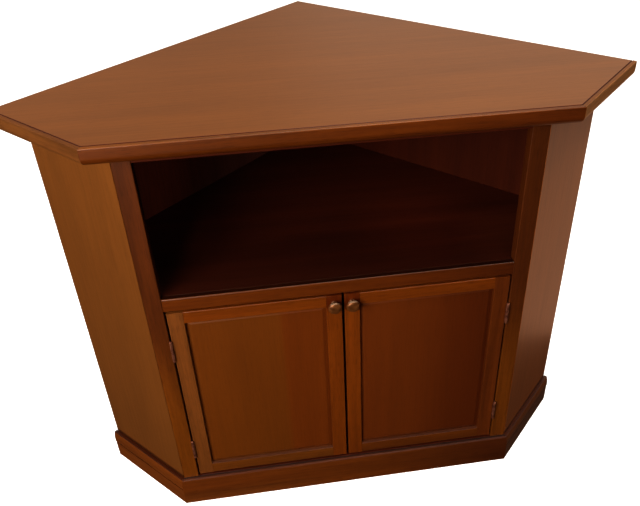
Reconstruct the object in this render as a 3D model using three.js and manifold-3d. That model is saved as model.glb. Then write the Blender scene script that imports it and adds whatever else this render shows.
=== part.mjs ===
// A corner television cabinet in stained mahogany, in millimetres: +X to the right, +Y to the back, +Z up.
// The origin lies on the floor, under the middle of the top. The back is a right angle that stands in the
// corner of a room, the sides leave the walls square, so they run at 45 degrees to the front, and an open
// compartment lies over a cupboard with two inset frame-and-panel doors on butt hinges.
import * as THREE from "three";
import { mergeVertices } from "three/addons/utils/BufferGeometryUtils.js";
import Module from "manifold-3d";

const wasm = await Module();
wasm.setup();

// The top
const cabinetHeight = 804;
const topFrontWidth = 700;
const topWingWidth = 161; // how far each 45 degree side carries the top outwards, and as far back
const topBoardThickness = 18;
const lippingHeight = 28;
const lippingWidth = 7.5; // what shows of it beside the veneered field
const lippingUnderlay = 30; // how far it reaches in under the board
const lippingUpperRound = 2;
const lippingLowerRound = 13;
const lippingVee = 0.9; // the chamfers that make the groove line between lipping and veneered field
const frontOverhang = 48;
const sideOverhang = 52;
const backOverhang = 7;

// The body
const sideThickness = 18;
const backThickness = 9;
const backRebateLip = 9; // what the side panel leaves standing behind the end of the back panel
const stileWidth = 28.5;
const stileArris = 1.5;
const boardThickness = 18;
const boardArris = 0.6;
const rearPostSize = 25;
const cornerPostSize = 32;
const topRailHeight = 32;
const bearerSize = 20;
const bearerFrontSetback = 42; // from the front corner of the body to the first end of a side bearer

// The shelf between the open compartment and the cupboard
const shelfTop = 507;
const shelfLippingHeight = 26;
const shelfLippingDepth = 10;
const shelfLippingRound = 2.5;

// The plinth
const plinthHeight = 68;
const plinthProjection = 8; // of the front board
const plinthFrontRound = 3;
const plinthSideProjection = 9.8; // of the upper band of the side moulding
const plinthLowerBand = 9.3; // projection of the flat band under it
const plinthBandHeight = 27;
const plinthBandRound = 1.5; // of the upper band's two arrises
const plinthLean = 3; // how far the upper band leans in at its top
const plinthLeanHeight = 14;
const plinthLeanRound = 60; // where the lean begins
const plinthQuirk = 1.8; // the sunk line between the two bands
const plinthRearReach = 2.5; // how far the side moulding passes the rear end of its side panel

// The doors
const doorThickness = 20;
const doorStileWidth = 27;
const doorRailWidth = 24;
const doorArris = 1.3;
const doorTopGap = 3.5;
const doorBottomGap = 6;
const doorHingeGap = 3;
const doorMeetingGap = 4;
const panelGrooveWidth = 6;
const panelGrooveDepth = 8;
const panelGrooveSetback = 7; // from the door's face to the front of the groove
const panelFieldSetback = 5; // from the door's face to the raised field of the panel
const panelBevelWidth = 7;
const panelSeat = 0.8; // how deep the raised field's own block stands in the panel

// The hinges
const hingeLength = 44;
const hingeLeafThickness = 1.2;
const hingeLeafWidth = 16;
const hingeBarrelRadius = 2.7;
const hingePinRadius = 1.2;
const hingeKnuckles = 5;
const hingeAxisProud = 2.2; // how far the pin's axis stands in front of the doors
const hingeUpperDrop = 81; // from the door's top to the middle of the upper hinge
const hingeLowerRise = 73; // from the door's foot to the middle of the lower hinge
const hingePinHeadHeight = 0.8;
const hingeScrewHole = 1.3;
const hingeScrewSink = 2.3;
const hingeScrewSetback = 4; // from the leaf's free edge to the row of screws

// The knobs
const knobHeadRadius = 11.5;
const knobHeadHeight = 9;
const knobProjection = 15.5;
const knobNeckRadius = 4.6;
const knobFootRadius = 6.5;
const knobFootHeight = 2;
const knobRim = 1.2;
const knobDrop = 18.5; // from the door's top to the knob's axis
const knobScrewRadius = 2;
const knobScrewReach = 10;
const knobScrewHeadRadius = 4;
const knobScrewHeadHeight = 2.2;

// The magnetic catches
const catchWidth = 30;
const catchDepth = 14;
const catchHeight = 16;
const catchCorner = 3;
const catchPlace = 60; // from the middle of the cabinet to each catch
const strikeWidth = 18;
const strikeHeight = 12;
const strikeThickness = 1.2;
const strikeCorner = 2;

// Clearances and fineness
const fit = 0.3; // glue lines, and what a piece leaves to the slot or pocket that takes it
const boreFit = 0.15;
const overrun = 5; // how far a cutting tool passes the faces that it cuts through
const weldDistance = 1e-3;
const arcSteps = 8;
const roundSteps = 24;
const smallSteps = 12;
const domeSteps = 8;

// The plan. Sides and back lie at 45 degrees, so each is a line x - y or x + y = a constant.
const diagonal = Math.SQRT2;
const mitreSlope = Math.tan(Math.PI / 8); // half of the 45 degrees by which the plan turns at a front corner
// Front and side of the plinth project unequally, so each has its own slope at the mitre.
const plinthFrontSlope = (plinthSideProjection * diagonal - plinthProjection) / plinthProjection;
const plinthSideSlope = (plinthProjection * diagonal - plinthSideProjection) / plinthSideProjection;
const overallWidth = topFrontWidth + 2 * topWingWidth;
const overallDepth = topWingWidth + overallWidth / 2;
const topFrontY = -overallDepth / 2;
const topBackY = overallDepth / 2;
const topSideLine = topFrontWidth / 2 - topFrontY;
const bodyFrontY = topFrontY + frontOverhang;
const bodySideLine = topSideLine - sideOverhang * diagonal;
const bodyBackLine = topBackY - backOverhang * diagonal;
const bodyFrontHalf = bodySideLine + bodyFrontY;
const bodyCornerX = (bodySideLine + bodyBackLine) / 2;
const sideLength = (bodyCornerX - bodyFrontHalf) * diagonal;
const backLength = bodyCornerX * diagonal;
const openingHalf = bodyFrontHalf - stileWidth;
const bodyTop = cabinetHeight - topBoardThickness;
const bodyInnerY = bodyFrontY + boardThickness;

// In the wing's own frame u runs back along the side panel and v runs in along the back panel.
const backInnerU = sideLength - backThickness - fit;
const sideInnerV = sideThickness + fit;
const rearPostU = backInnerU - rearPostSize;
const rearPostV = sideInnerV + rearPostSize;
const cornerPostSetback = backThickness + fit + cornerPostSize;

// Heights
const shelfUnder = shelfTop - boardThickness;
const shelfLippingUnder = shelfTop - shelfLippingHeight;
const floorPanelUnder = plinthHeight - boardThickness;
const doorTop = shelfLippingUnder - doorTopGap;
const doorFoot = plinthHeight + doorBottomGap;
const doorHingeX = openingHalf - doorHingeGap;
const doorMeetingX = doorMeetingGap / 2;
const hingeAxisX = openingHalf - doorHingeGap / 2;
const hingeAxisY = bodyFrontY - hingeAxisProud;
const knobX = doorMeetingX + doorStileWidth / 2;
const knobZ = doorTop - knobDrop;
const hingeHeights = { upper: doorTop - hingeUpperDrop, lower: doorFoot + hingeLowerRise };

const finishes = {
  topVeneer: wood(0x8a5232, 0.3),
  stainedEdge: wood(0x5f2f12, 0.32),
  stainedVeneer: wood(0x6b3516, 0.34),
  darkInside: wood(0x3a1a0e, 0.5),
  rawTimber: wood(0x8f6a44, 0.8),
  agedBrass: metal(0x8a6f45, 0.35),
  brassHinge: metal(0x7b5a3a, 0.4),
  steel: metal(0x9a9a98, 0.35),
  catchPlastic: new THREE.MeshStandardMaterial({ color: 0x4a2f20, roughness: 0.5, metalness: 0 }),
};

function wood(color, roughness) {
  return new THREE.MeshStandardMaterial({ color, roughness, metalness: 0 });
}

function metal(color, roughness) {
  return new THREE.MeshStandardMaterial({ color, roughness, metalness: 1 });
}

function piece(name, geometry, material) {
  const mesh = new THREE.Mesh(geometry, material);
  mesh.name = name;
  return mesh;
}

// Joining and cutting closed solids
function solidOf(geometry) {
  const bare = geometry.clone();
  bare.deleteAttribute("normal");
  bare.deleteAttribute("uv");
  const merged = mergeVertices(bare, weldDistance);
  const vertProperties = merged.attributes.position.array;
  const triVerts = new Uint32Array(merged.index.array);
  return new wasm.Manifold(new wasm.Mesh({ numProp: 3, vertProperties, triVerts }));
}

function geometryOf(solid) {
  const mesh = solid.getMesh();
  const geometry = new THREE.BufferGeometry();
  geometry.setAttribute("position", new THREE.BufferAttribute(mesh.vertProperties, 3));
  geometry.setIndex(new THREE.BufferAttribute(mesh.triVerts, 1));
  const faceted = geometry.toNonIndexed();
  faceted.computeVertexNormals();
  return faceted;
}

function join(first, ...others) {
  return geometryOf(others.reduce((solid, other) => solid.add(solidOf(other)), solidOf(first)));
}

function cut(first, ...tools) {
  return geometryOf(tools.reduce((solid, tool) => solid.subtract(solidOf(tool)), solidOf(first)));
}

// Outlines and basic solids
// Each corner is [x, y] or [x, y, radius], in turn round the outline with the inside on the left.
function outline(corners) {
  const shape = new THREE.Shape();
  corners.forEach(([x, y, radius = 0], i) => {
    const corner = new THREE.Vector2(x, y);
    if (!radius) {
      if (i) shape.lineTo(x, y);
      else shape.moveTo(x, y);
      return;
    }
    const [beforeX, beforeY] = corners.at(i - 1);
    const [afterX, afterY] = corners[(i + 1) % corners.length];
    const before = new THREE.Vector2(beforeX, beforeY).sub(corner).normalize();
    const after = new THREE.Vector2(afterX, afterY).sub(corner).normalize();
    const halfAngle = Math.acos(before.dot(after)) / 2;
    const centre = before.clone().add(after).setLength(radius / Math.sin(halfAngle)).add(corner);
    const start = before.multiplyScalar(radius / Math.tan(halfAngle)).add(corner);
    const end = after.multiplyScalar(radius / Math.tan(halfAngle)).add(corner);
    if (i) shape.lineTo(start.x, start.y);
    else shape.moveTo(start.x, start.y);
    const startAngle = Math.atan2(start.y - centre.y, start.x - centre.x);
    const endAngle = Math.atan2(end.y - centre.y, end.x - centre.x);
    const turn = start.clone().sub(centre).cross(end.clone().sub(centre));
    shape.absarc(centre.x, centre.y, radius, startAngle, endAngle, turn < 0);
  });
  shape.closePath();
  return shape;
}

// A board that lies flat: its plan, drawn out from its underside to its upper face with softened arrises.
function board(plan, under, over, arris = 0) {
  const geometry = new THREE.ExtrudeGeometry(plan, {
    depth: over - under - 2 * arris,
    bevelEnabled: arris > 0,
    bevelThickness: arris,
    bevelSize: arris,
    bevelOffset: -arris,
    bevelSegments: 1,
    curveSegments: arcSteps,
  });
  return geometry.translate(0, 0, under + arris);
}

function block([x0, x1], [y0, y1], [z0, z1]) {
  const box = new THREE.BoxGeometry(x1 - x0, y1 - y0, z1 - z0);
  return box.translate((x0 + x1) / 2, (y0 + y1) / 2, (z0 + z1) / 2);
}

// A moulding that runs along +X with its outside towards -Y. Its section is drawn as distance outwards and
// height. An end grows by its slope for each step outwards, so slope 0 is a square end and the mitre's
// slope meets the neighbour round a front corner.
function moulding(section, from, to, startSlope, endSlope) {
  const options = { depth: 1, bevelEnabled: false, curveSegments: arcSteps };
  const geometry = new THREE.ExtrudeGeometry(section, options);
  const place = geometry.attributes.position;
  for (let i = 0; i < place.count; i++) {
    const out = place.getX(i);
    const height = place.getY(i);
    const x = THREE.MathUtils.lerp(to + out * endSlope, from - out * startSlope, place.getZ(i));
    place.setXYZ(i, x, -out, height);
  }
  return geometry;
}

function rod(radius, from, to) {
  const cylinder = new THREE.CylinderGeometry(radius, radius, to - from, smallSteps);
  return cylinder.rotateX(Math.PI / 2).translate(0, 0, (from + to) / 2);
}

// Points of the right half, from the wing's frame to the cabinet's
function wingPoint(u, v) {
  return [bodyFrontHalf + (u - v) / diagonal, bodyFrontY + (u + v) / diagonal];
}

function bothHalves(rightHalf) {
  const leftHalf = rightHalf
    .filter(([x]) => x > 0)
    .map(([x, ...rest]) => [-x, ...rest])
    .reverse();
  return outline([...rightHalf, ...leftHalf]);
}

// The plan of a board that fills the body, with its front edge between the stiles and a notch for each post.
function fillingPlan(frontEdgeY) {
  const neck = openingHalf - fit;
  const shoulderY = bodyInnerY + fit;
  const shoulderX = bodySideLine - sideInnerV * diagonal + shoulderY;
  return bothHalves([
    [neck, frontEdgeY],
    [neck, shoulderY],
    [shoulderX, shoulderY],
    wingPoint(rearPostU - fit, sideInnerV),
    wingPoint(rearPostU - fit, rearPostV + fit),
    wingPoint(backInnerU, rearPostV + fit),
    wingPoint(backInnerU, backLength - cornerPostSetback - fit),
    [0, bodyBackLine - (cornerPostSetback + fit) * diagonal],
  ]);
}

// The top: a veneered board in the rebate of a solid lipping, mitred round its front and its two sides
function topField() {
  const inset = lippingWidth + fit;
  const frontEdge = topFrontY + inset;
  const sideLine = topSideLine - inset * diagonal;
  const plan = bothHalves([
    [sideLine + frontEdge, frontEdge],
    [(sideLine + topBackY) / 2, (topBackY - sideLine) / 2],
    [0, topBackY],
  ]);
  return board(plan, bodyTop, cabinetHeight, lippingVee);
}

function lippingSection() {
  const foot = cabinetHeight - lippingHeight;
  return outline([
    [-lippingUnderlay, foot],
    [0, foot, lippingLowerRound],
    [0, cabinetHeight, lippingUpperRound],
    [lippingVee - lippingWidth, cabinetHeight],
    [-lippingWidth, cabinetHeight - lippingVee],
    [-lippingWidth, bodyTop],
    [-lippingUnderlay, bodyTop],
  ]);
}

function frontLipping() {
  const half = topFrontWidth / 2 - fit / 2;
  return moulding(lippingSection(), -half, half, mitreSlope, mitreSlope).translate(0, topFrontY, 0);
}

function sideLipping() {
  return moulding(lippingSection(), fit / 2, topWingWidth * diagonal, mitreSlope, 0);
}

// The body
function frontStile() {
  const mitreIn = boardThickness * mitreSlope;
  const plan = outline([
    [openingHalf, bodyFrontY, stileArris],
    [bodyFrontHalf, bodyFrontY, stileArris / 2],
    [bodyFrontHalf - mitreIn, bodyInnerY],
    [openingHalf, bodyInnerY],
  ]);
  const pockets = Object.values(hingeHeights).map((height) => leafPocket(1, height));
  return cut(board(plan, 0, bodyTop), ...pockets);
}

function sidePanel() {
  const plan = outline([
    [fit, 0],
    [sideLength, 0],
    [sideLength, backRebateLip],
    [backInnerU, backRebateLip],
    [backInnerU, sideThickness],
    [fit + sideThickness * mitreSlope, sideThickness],
  ]);
  return board(plan, 0, bodyTop);
}

function backPanel() {
  const cornerEnd = backLength - fit / diagonal;
  const plan = outline([
    [sideLength - backThickness, backRebateLip + fit],
    [sideLength, backRebateLip + fit],
    [sideLength, cornerEnd],
    [sideLength - backThickness, cornerEnd - backThickness],
  ]);
  return board(plan, 0, bodyTop);
}

function rearPost() {
  return block([rearPostU, backInnerU], [sideInnerV, rearPostV], [0, bodyTop]);
}

function cornerPost() {
  const half = cornerPostSize / 2;
  return block([-half, half], [-half, half], [0, bodyTop]);
}

function sideBearer(over) {
  const along = [bearerFrontSetback, rearPostU - fit];
  return block(along, [sideInnerV, sideInnerV + bearerSize], [over - bearerSize, over]);
}

function backBearer(over) {
  const along = [rearPostV + fit, backLength - cornerPostSetback - fit];
  return block([backInnerU - bearerSize, backInnerU], along, [over - bearerSize, over]);
}

function topRail() {
  const half = openingHalf - fit;
  const section = outline([
    [-boardThickness, bodyTop - topRailHeight],
    [0, bodyTop - topRailHeight, stileArris],
    [0, bodyTop],
    [-boardThickness, bodyTop],
  ]);
  return moulding(section, -half, half, 0, 0).translate(0, bodyFrontY, 0);
}

function bottomRail() {
  const half = openingHalf - fit;
  return block([-half, half], [bodyFrontY, bodyInnerY], [0, floorPanelUnder]);
}

function shelfLipping() {
  const half = openingHalf - fit;
  const section = outline([
    [-shelfLippingDepth, shelfLippingUnder],
    [0, shelfLippingUnder, shelfLippingRound],
    [0, shelfTop, shelfLippingRound],
    [-shelfLippingDepth, shelfTop],
  ]);
  return moulding(section, -half, half, 0, 0).translate(0, bodyFrontY, 0);
}

// The plinth: a flat board in front, and a moulding on each side with a leaning band over a flat one
function plinthFront() {
  const section = outline([
    [0, 0],
    [plinthProjection, 0],
    [plinthProjection, plinthHeight, plinthFrontRound],
    [0, plinthHeight],
  ]);
  const half = bodyFrontHalf - fit / 2;
  const blank = moulding(section, -half, half, plinthFrontSlope, plinthFrontSlope);
  return cut(blank.translate(0, bodyFrontY, 0), copingTool(1), copingTool(-1));
}

// What comes off an end of the front board, so that it follows the lean of the side moulding: a wedge that
// passes the top and the foot of the lean by the lean's own height.
function copingTool(side) {
  const outer = plinthSideProjection + plinthLean;
  const over = plinthHeight + plinthLeanHeight;
  const wedge = outline([
    [outer, plinthHeight - 2 * plinthLeanHeight],
    [outer, over],
    [plinthSideProjection - 2 * plinthLean, over],
  ]);
  const reach = plinthSideProjection + overrun;
  const tool = moulding(wedge, -reach, reach, 0, 0).rotateZ((side * Math.PI) / 4);
  return tool.translate(side * bodyFrontHalf, bodyFrontY, 0);
}

function plinthSide() {
  const bandUnder = plinthHeight - plinthBandHeight;
  const quirkOut = plinthLowerBand - plinthQuirk;
  const section = outline([
    [fit, 0],
    [plinthLowerBand, 0],
    [plinthLowerBand, bandUnder - plinthQuirk],
    [quirkOut, bandUnder - plinthQuirk],
    [quirkOut, bandUnder],
    [plinthSideProjection, bandUnder, plinthBandRound],
    [plinthSideProjection, plinthHeight - plinthLeanHeight, plinthLeanRound],
    [plinthSideProjection - plinthLean, plinthHeight, plinthBandRound],
    [fit, plinthHeight],
  ]);
  return moulding(section, fit / 2, sideLength + plinthRearReach, plinthSideSlope, 0);
}

// The doors, drawn for the right half: hinged at their right edge
function doorBox([x0, x1], [setback0, setback1], [z0, z1]) {
  return block([x0, x1], [bodyFrontY + setback0, bodyFrontY + setback1], [z0, z1]);
}

// A stile's plan, from its outer edge to the grooved inner one, which lies inwards along the given direction
function doorStilePlan(outerX, direction) {
  const innerX = outerX + direction * doorStileWidth;
  const grooveX = innerX - direction * panelGrooveDepth;
  const face = bodyFrontY;
  const grooveFront = face + panelGrooveSetback;
  const grooveBack = grooveFront + panelGrooveWidth;
  const corners = [
    [outerX, face + doorThickness],
    [outerX, face, doorArris],
    [innerX, face, doorArris],
    [innerX, grooveFront],
    [grooveX, grooveFront],
    [grooveX, grooveBack],
    [innerX, grooveBack],
    [innerX, face + doorThickness],
  ];
  return outline(direction > 0 ? corners : corners.reverse());
}

function hingeStile() {
  const blank = board(doorStilePlan(doorHingeX, -1), doorFoot, doorTop);
  const pockets = Object.values(hingeHeights).map((height) => leafPocket(-1, height));
  return cut(blank, ...pockets);
}

function meetingStile() {
  const blank = board(doorStilePlan(doorMeetingX, 1), doorFoot, doorTop);
  const hole = rod(knobScrewRadius + fit, -overrun, doorThickness + overrun).rotateX(-Math.PI / 2);
  return cut(blank, hole.translate(knobX, bodyFrontY, knobZ));
}

// A rail's section, from its outer edge to the grooved inner one, with its stub tenons along its core
function doorRail(outerZ, direction) {
  const innerZ = outerZ + direction * doorRailWidth;
  const grooveZ = innerZ - direction * panelGrooveDepth;
  const grooveFront = -panelGrooveSetback;
  const grooveBack = grooveFront - panelGrooveWidth;
  const corners = [
    [-doorThickness, outerZ],
    [0, outerZ, doorArris],
    [0, innerZ, doorArris],
    [grooveFront, innerZ],
    [grooveFront, grooveZ],
    [grooveBack, grooveZ],
    [grooveBack, innerZ],
    [-doorThickness, innerZ],
  ];
  const section = outline(direction > 0 ? corners : corners.reverse());
  const from = doorMeetingX + doorStileWidth;
  const to = doorHingeX - doorStileWidth;
  const rail = moulding(section, from, to, 0, 0).translate(0, bodyFrontY, 0);
  const reach = panelGrooveDepth - fit;
  const depth = [panelGrooveSetback + fit, panelGrooveSetback + panelGrooveWidth - fit];
  const height = direction > 0 ? [outerZ, grooveZ - fit] : [grooveZ + fit, outerZ];
  return join(rail, doorBox([from - reach, to + reach], depth, height));
}

function doorPanel() {
  const tongue = panelGrooveDepth - 2 * fit;
  const sightX = [doorMeetingX + doorStileWidth, doorHingeX - doorStileWidth];
  const sightZ = [doorFoot + doorRailWidth, doorTop - doorRailWidth];
  const front = panelGrooveSetback + fit;
  const back = panelGrooveSetback + panelGrooveWidth - fit;
  const sheetX = [sightX[0] - tongue, sightX[1] + tongue];
  const sheetZ = [sightZ[0] - tongue, sightZ[1] + tongue];
  const sheet = doorBox(sheetX, [front, back], sheetZ);
  const rise = front - panelFieldSetback;
  const raised = outline([
    [sightX[0] + fit, sightZ[0] + fit],
    [sightX[1] - fit, sightZ[0] + fit],
    [sightX[1] - fit, sightZ[1] - fit],
    [sightX[0] + fit, sightZ[1] - fit],
  ]);
  const field = new THREE.ExtrudeGeometry(raised, {
    depth: panelSeat,
    bevelThickness: rise,
    bevelSize: panelBevelWidth,
    bevelOffset: -panelBevelWidth,
    bevelSegments: 1,
  });
  field.rotateX(Math.PI / 2).translate(0, bodyFrontY + front + panelSeat, 0);
  return join(sheet, field);
}

// The hinges, seen in the right half. Direction 1 is the cabinet's leaf and -1 is the door's leaf.
function leafSpan(direction) {
  const near = direction * (doorHingeGap / 2);
  const far = near + direction * hingeLeafThickness;
  return [Math.min(near, far), Math.max(near, far)];
}

function leafPocket(direction, height) {
  const near = direction * (doorHingeGap / 2 - overrun);
  const far = direction * (doorHingeGap / 2 + hingeLeafThickness + fit);
  const x = [hingeAxisX + Math.min(near, far), hingeAxisX + Math.max(near, far)];
  const y = [hingeAxisY - overrun, hingeAxisY + hingeBarrelRadius + hingeLeafWidth + fit];
  const half = hingeLength / 2 + fit;
  return block(x, y, [height - half, height + half]);
}

// A leaf about its pin's axis, with every second knuckle of the barrel: the cabinet's has the outer ones.
function hingeLeaf(direction) {
  const span = leafSpan(direction);
  const half = hingeLength / 2;
  const clear = hingeBarrelRadius + fit;
  const plate = block(span, [clear, hingeBarrelRadius + hingeLeafWidth], [-half, half]);
  const knuckleLength = hingeLength / hingeKnuckles;
  const parts = [plate];
  for (let i = direction > 0 ? 0 : 1; i < hingeKnuckles; i += 2) {
    const from = -half + i * knuckleLength + (i ? fit / 2 : 0);
    const to = -half + (i + 1) * knuckleLength - (i < hingeKnuckles - 1 ? fit / 2 : 0);
    parts.push(rod(hingeBarrelRadius, from, to));
    parts.push(block(span, [0, clear + fit], [from, to]));
  }
  const bore = rod(hingePinRadius + boreFit, -half - overrun, half + overrun);
  const screwY = hingeBarrelRadius + hingeLeafWidth - hingeScrewSetback;
  const holes = [-1, 0, 1].map((place) => screwHole(direction, screwY, (place * hingeLength) / 3));
  return cut(join(...parts), bore, ...holes);
}

// A countersunk hole through a leaf, widest on the face that looks into the gap
function screwHole(direction, y, z) {
  const face = direction * (doorHingeGap / 2);
  const sink = new THREE.CylinderGeometry(hingeScrewHole, hingeScrewSink, hingeLeafThickness, smallSteps);
  sink.rotateZ((-direction * Math.PI) / 2).translate(face + (direction * hingeLeafThickness) / 2, y, z);
  const drill = new THREE.CylinderGeometry(hingeScrewHole, hingeScrewHole, 2 * overrun, smallSteps);
  drill.rotateZ(Math.PI / 2).translate(face, y, z);
  return join(sink, drill);
}

function hingePin() {
  const half = hingeLength / 2 + boreFit;
  const end = half + hingePinHeadHeight;
  const profile = [
    [0, -end],
    [hingeBarrelRadius / 2, -end],
    [hingeBarrelRadius, -half],
    [hingePinRadius, -half],
    [hingePinRadius, half],
    [hingeBarrelRadius, half],
    [hingeBarrelRadius / 2, end],
    [0, end],
  ];
  const points = profile.map(([radius, height]) => new THREE.Vector2(radius, height));
  return new THREE.LatheGeometry(points, smallSteps).rotateX(Math.PI / 2);
}

// The knobs: a foot, a neck and a domed head, each drilled for the screw that holds it through the stile
function knob() {
  const headUnder = knobProjection - knobHeadHeight;
  const rimTop = headUnder + 2 * knobRim;
  const dome = [];
  for (let i = 0; i <= domeSteps; i++) {
    const angle = ((i / domeSteps) * Math.PI) / 2;
    dome.push([knobHeadRadius * Math.cos(angle), rimTop + (knobProjection - rimTop) * Math.sin(angle)]);
  }
  dome.at(-1)[0] = 0;
  const profile = [
    [0, knobScrewReach + fit],
    [knobScrewRadius + boreFit, knobScrewReach + fit],
    [knobScrewRadius + boreFit, 0],
    [knobFootRadius, 0],
    [knobFootRadius, knobFootHeight / 2],
    [knobFootRadius - knobRim, knobFootHeight],
    [knobNeckRadius, knobFootHeight + knobRim],
    [knobNeckRadius, headUnder - knobRim],
    [knobHeadRadius - knobRim, headUnder],
    [knobHeadRadius, headUnder + knobRim],
    ...dome,
  ];
  return turned(profile);
}

function knobScrew() {
  const back = -doorThickness;
  const profile = [
    [0, back - knobScrewHeadHeight],
    [knobScrewHeadRadius / 2, back - knobScrewHeadHeight],
    [knobScrewHeadRadius, back - knobScrewHeadHeight / 2],
    [knobScrewHeadRadius, back],
    [knobScrewRadius, back],
    [knobScrewRadius, knobScrewReach],
    [0, knobScrewReach],
  ];
  return turned(profile);
}

// A solid of revolution whose heights point out of the door's face
function turned(profile) {
  const points = profile.map(([radius, reach]) => new THREE.Vector2(radius, reach));
  return new THREE.LatheGeometry(points, roundSteps).rotateX(Math.PI).translate(knobX, bodyFrontY, knobZ);
}

// The catches under the shelf, and the strikes on the doors
function plateOutline(width, height, corner) {
  return outline([
    [-width / 2, -height, corner],
    [width / 2, -height, corner],
    [width / 2, 0],
    [-width / 2, 0],
  ]);
}

function catchCase() {
  const front = bodyFrontY + doorThickness + strikeThickness + fit;
  const geometry = new THREE.ExtrudeGeometry(plateOutline(catchWidth, catchHeight, catchCorner), {
    depth: catchDepth,
    bevelEnabled: false,
    curveSegments: arcSteps,
  });
  return geometry.rotateX(Math.PI / 2).translate(catchPlace, front + catchDepth, shelfUnder);
}

function strike() {
  const back = bodyFrontY + doorThickness + strikeThickness;
  const geometry = new THREE.ExtrudeGeometry(plateOutline(strikeWidth, strikeHeight, strikeCorner), {
    depth: strikeThickness,
    bevelEnabled: false,
    curveSegments: arcSteps,
  });
  return geometry.rotateX(Math.PI / 2).translate(catchPlace, back, doorTop - fit);
}

// One half of the cabinet. The left half is the right one seen in a mirror.
function halfCabinet(side) {
  const half = new THREE.Group();
  half.scale.x = side === "left" ? -1 : 1;
  const named = (name) => side + "_" + name;

  half.add(piece(named("front_stile"), frontStile(), finishes.stainedEdge));
  half.add(piece(named("door_catch"), catchCase(), finishes.catchPlastic));

  const wing = new THREE.Group();
  wing.position.set(bodyFrontHalf, bodyFrontY, 0);
  wing.rotation.z = Math.PI / 4;
  wing.add(
    piece(named("side_panel"), sidePanel(), finishes.stainedVeneer),
    piece(named("back_panel"), backPanel(), finishes.darkInside),
    piece(named("rear_post"), rearPost(), finishes.rawTimber),
    piece(named("top_batten"), sideBearer(bodyTop), finishes.rawTimber),
    piece(named("side_shelf_bearer"), sideBearer(shelfUnder), finishes.darkInside),
    piece(named("back_shelf_bearer"), backBearer(shelfUnder), finishes.darkInside),
    piece(named("back_floor_bearer"), backBearer(floorPanelUnder), finishes.rawTimber),
    piece(named("side_plinth"), plinthSide(), finishes.stainedEdge),
  );
  half.add(wing);

  const topEdge = new THREE.Group();
  topEdge.position.set(topFrontWidth / 2, topFrontY, 0);
  topEdge.rotation.z = Math.PI / 4;
  topEdge.add(piece(named("top_lipping"), sideLipping(), finishes.stainedEdge));
  half.add(topEdge);

  half.add(
    piece(named("door_hinge_stile"), hingeStile(), finishes.stainedEdge),
    piece(named("door_meeting_stile"), meetingStile(), finishes.stainedEdge),
    piece(named("door_top_rail"), doorRail(doorTop, -1), finishes.stainedEdge),
    piece(named("door_bottom_rail"), doorRail(doorFoot, 1), finishes.stainedEdge),
    piece(named("door_panel"), doorPanel(), finishes.stainedVeneer),
    piece(named("door_knob"), knob(), finishes.agedBrass),
    piece(named("door_knob_screw"), knobScrew(), finishes.steel),
    piece(named("door_strike"), strike(), finishes.steel),
  );

  for (const [level, height] of Object.entries(hingeHeights)) {
    const hinge = new THREE.Group();
    hinge.position.set(hingeAxisX, hingeAxisY, height);
    hinge.add(
      piece(named(level + "_hinge_cabinet_leaf"), hingeLeaf(1), finishes.brassHinge),
      piece(named(level + "_hinge_door_leaf"), hingeLeaf(-1), finishes.brassHinge),
      piece(named(level + "_hinge_pin"), hingePin(), finishes.brassHinge),
    );
    half.add(hinge);
  }
  return half;
}

// The pieces that cross the middle
function middlePieces() {
  const middle = new THREE.Group();
  const post = piece("back_corner_post", cornerPost(), finishes.rawTimber);
  const postSetback = backThickness + fit + cornerPostSize / 2;
  post.rotation.z = Math.PI / 4;
  post.position.y = bodyBackLine - postSetback * diagonal;
  const shelf = board(fillingPlan(bodyFrontY + shelfLippingDepth), shelfUnder, shelfTop, boardArris);
  const floor = board(fillingPlan(bodyFrontY), floorPanelUnder, plinthHeight, boardArris);
  middle.add(
    piece("top_panel", topField(), finishes.topVeneer),
    piece("front_top_lipping", frontLipping(), finishes.stainedEdge),
    piece("front_top_rail", topRail(), finishes.stainedEdge),
    piece("front_bottom_rail", bottomRail(), finishes.rawTimber),
    piece("front_plinth", plinthFront(), finishes.stainedEdge),
    piece("middle_shelf", shelf, finishes.stainedVeneer),
    piece("shelf_lipping", shelfLipping(), finishes.stainedEdge),
    piece("floor_panel", floor, finishes.darkInside),
    post,
  );
  return middle;
}

const cabinet = new THREE.Group();
cabinet.add(middlePieces(), halfCabinet("right"), halfCabinet("left"));
export default cabinet;
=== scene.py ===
"""A corner television cabinet in stained mahogany.

The frame holds the cabinet's solids. This script gives them their finish, and adds the fine mouldings, the
knobs, the small fastenings, the light and the camera. Lengths are in metres unless a comment says they are
in millimetres.
"""
import math
from collections import namedtuple
from functools import reduce

import bpy
from mathutils import Matrix, Vector


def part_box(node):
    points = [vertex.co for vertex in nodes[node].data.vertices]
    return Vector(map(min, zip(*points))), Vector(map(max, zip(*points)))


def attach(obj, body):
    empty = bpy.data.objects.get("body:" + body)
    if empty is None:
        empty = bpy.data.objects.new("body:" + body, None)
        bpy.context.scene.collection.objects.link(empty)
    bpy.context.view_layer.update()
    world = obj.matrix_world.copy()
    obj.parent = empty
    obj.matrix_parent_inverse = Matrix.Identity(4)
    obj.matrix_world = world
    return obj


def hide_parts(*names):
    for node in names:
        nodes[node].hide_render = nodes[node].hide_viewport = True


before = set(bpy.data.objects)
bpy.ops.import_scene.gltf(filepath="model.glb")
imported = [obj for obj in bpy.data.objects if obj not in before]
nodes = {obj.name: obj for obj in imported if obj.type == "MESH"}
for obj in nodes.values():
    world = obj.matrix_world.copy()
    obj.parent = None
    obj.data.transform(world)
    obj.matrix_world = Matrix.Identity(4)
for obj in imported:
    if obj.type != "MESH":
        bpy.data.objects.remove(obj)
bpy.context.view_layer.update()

# Directions and angles
RIGHT = Vector((1.0, 0.0, 0.0))
BACK = Vector((0.0, 1.0, 0.0))
UP = Vector((0.0, 0.0, 1.0))
QUARTER = math.pi / 2
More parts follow.
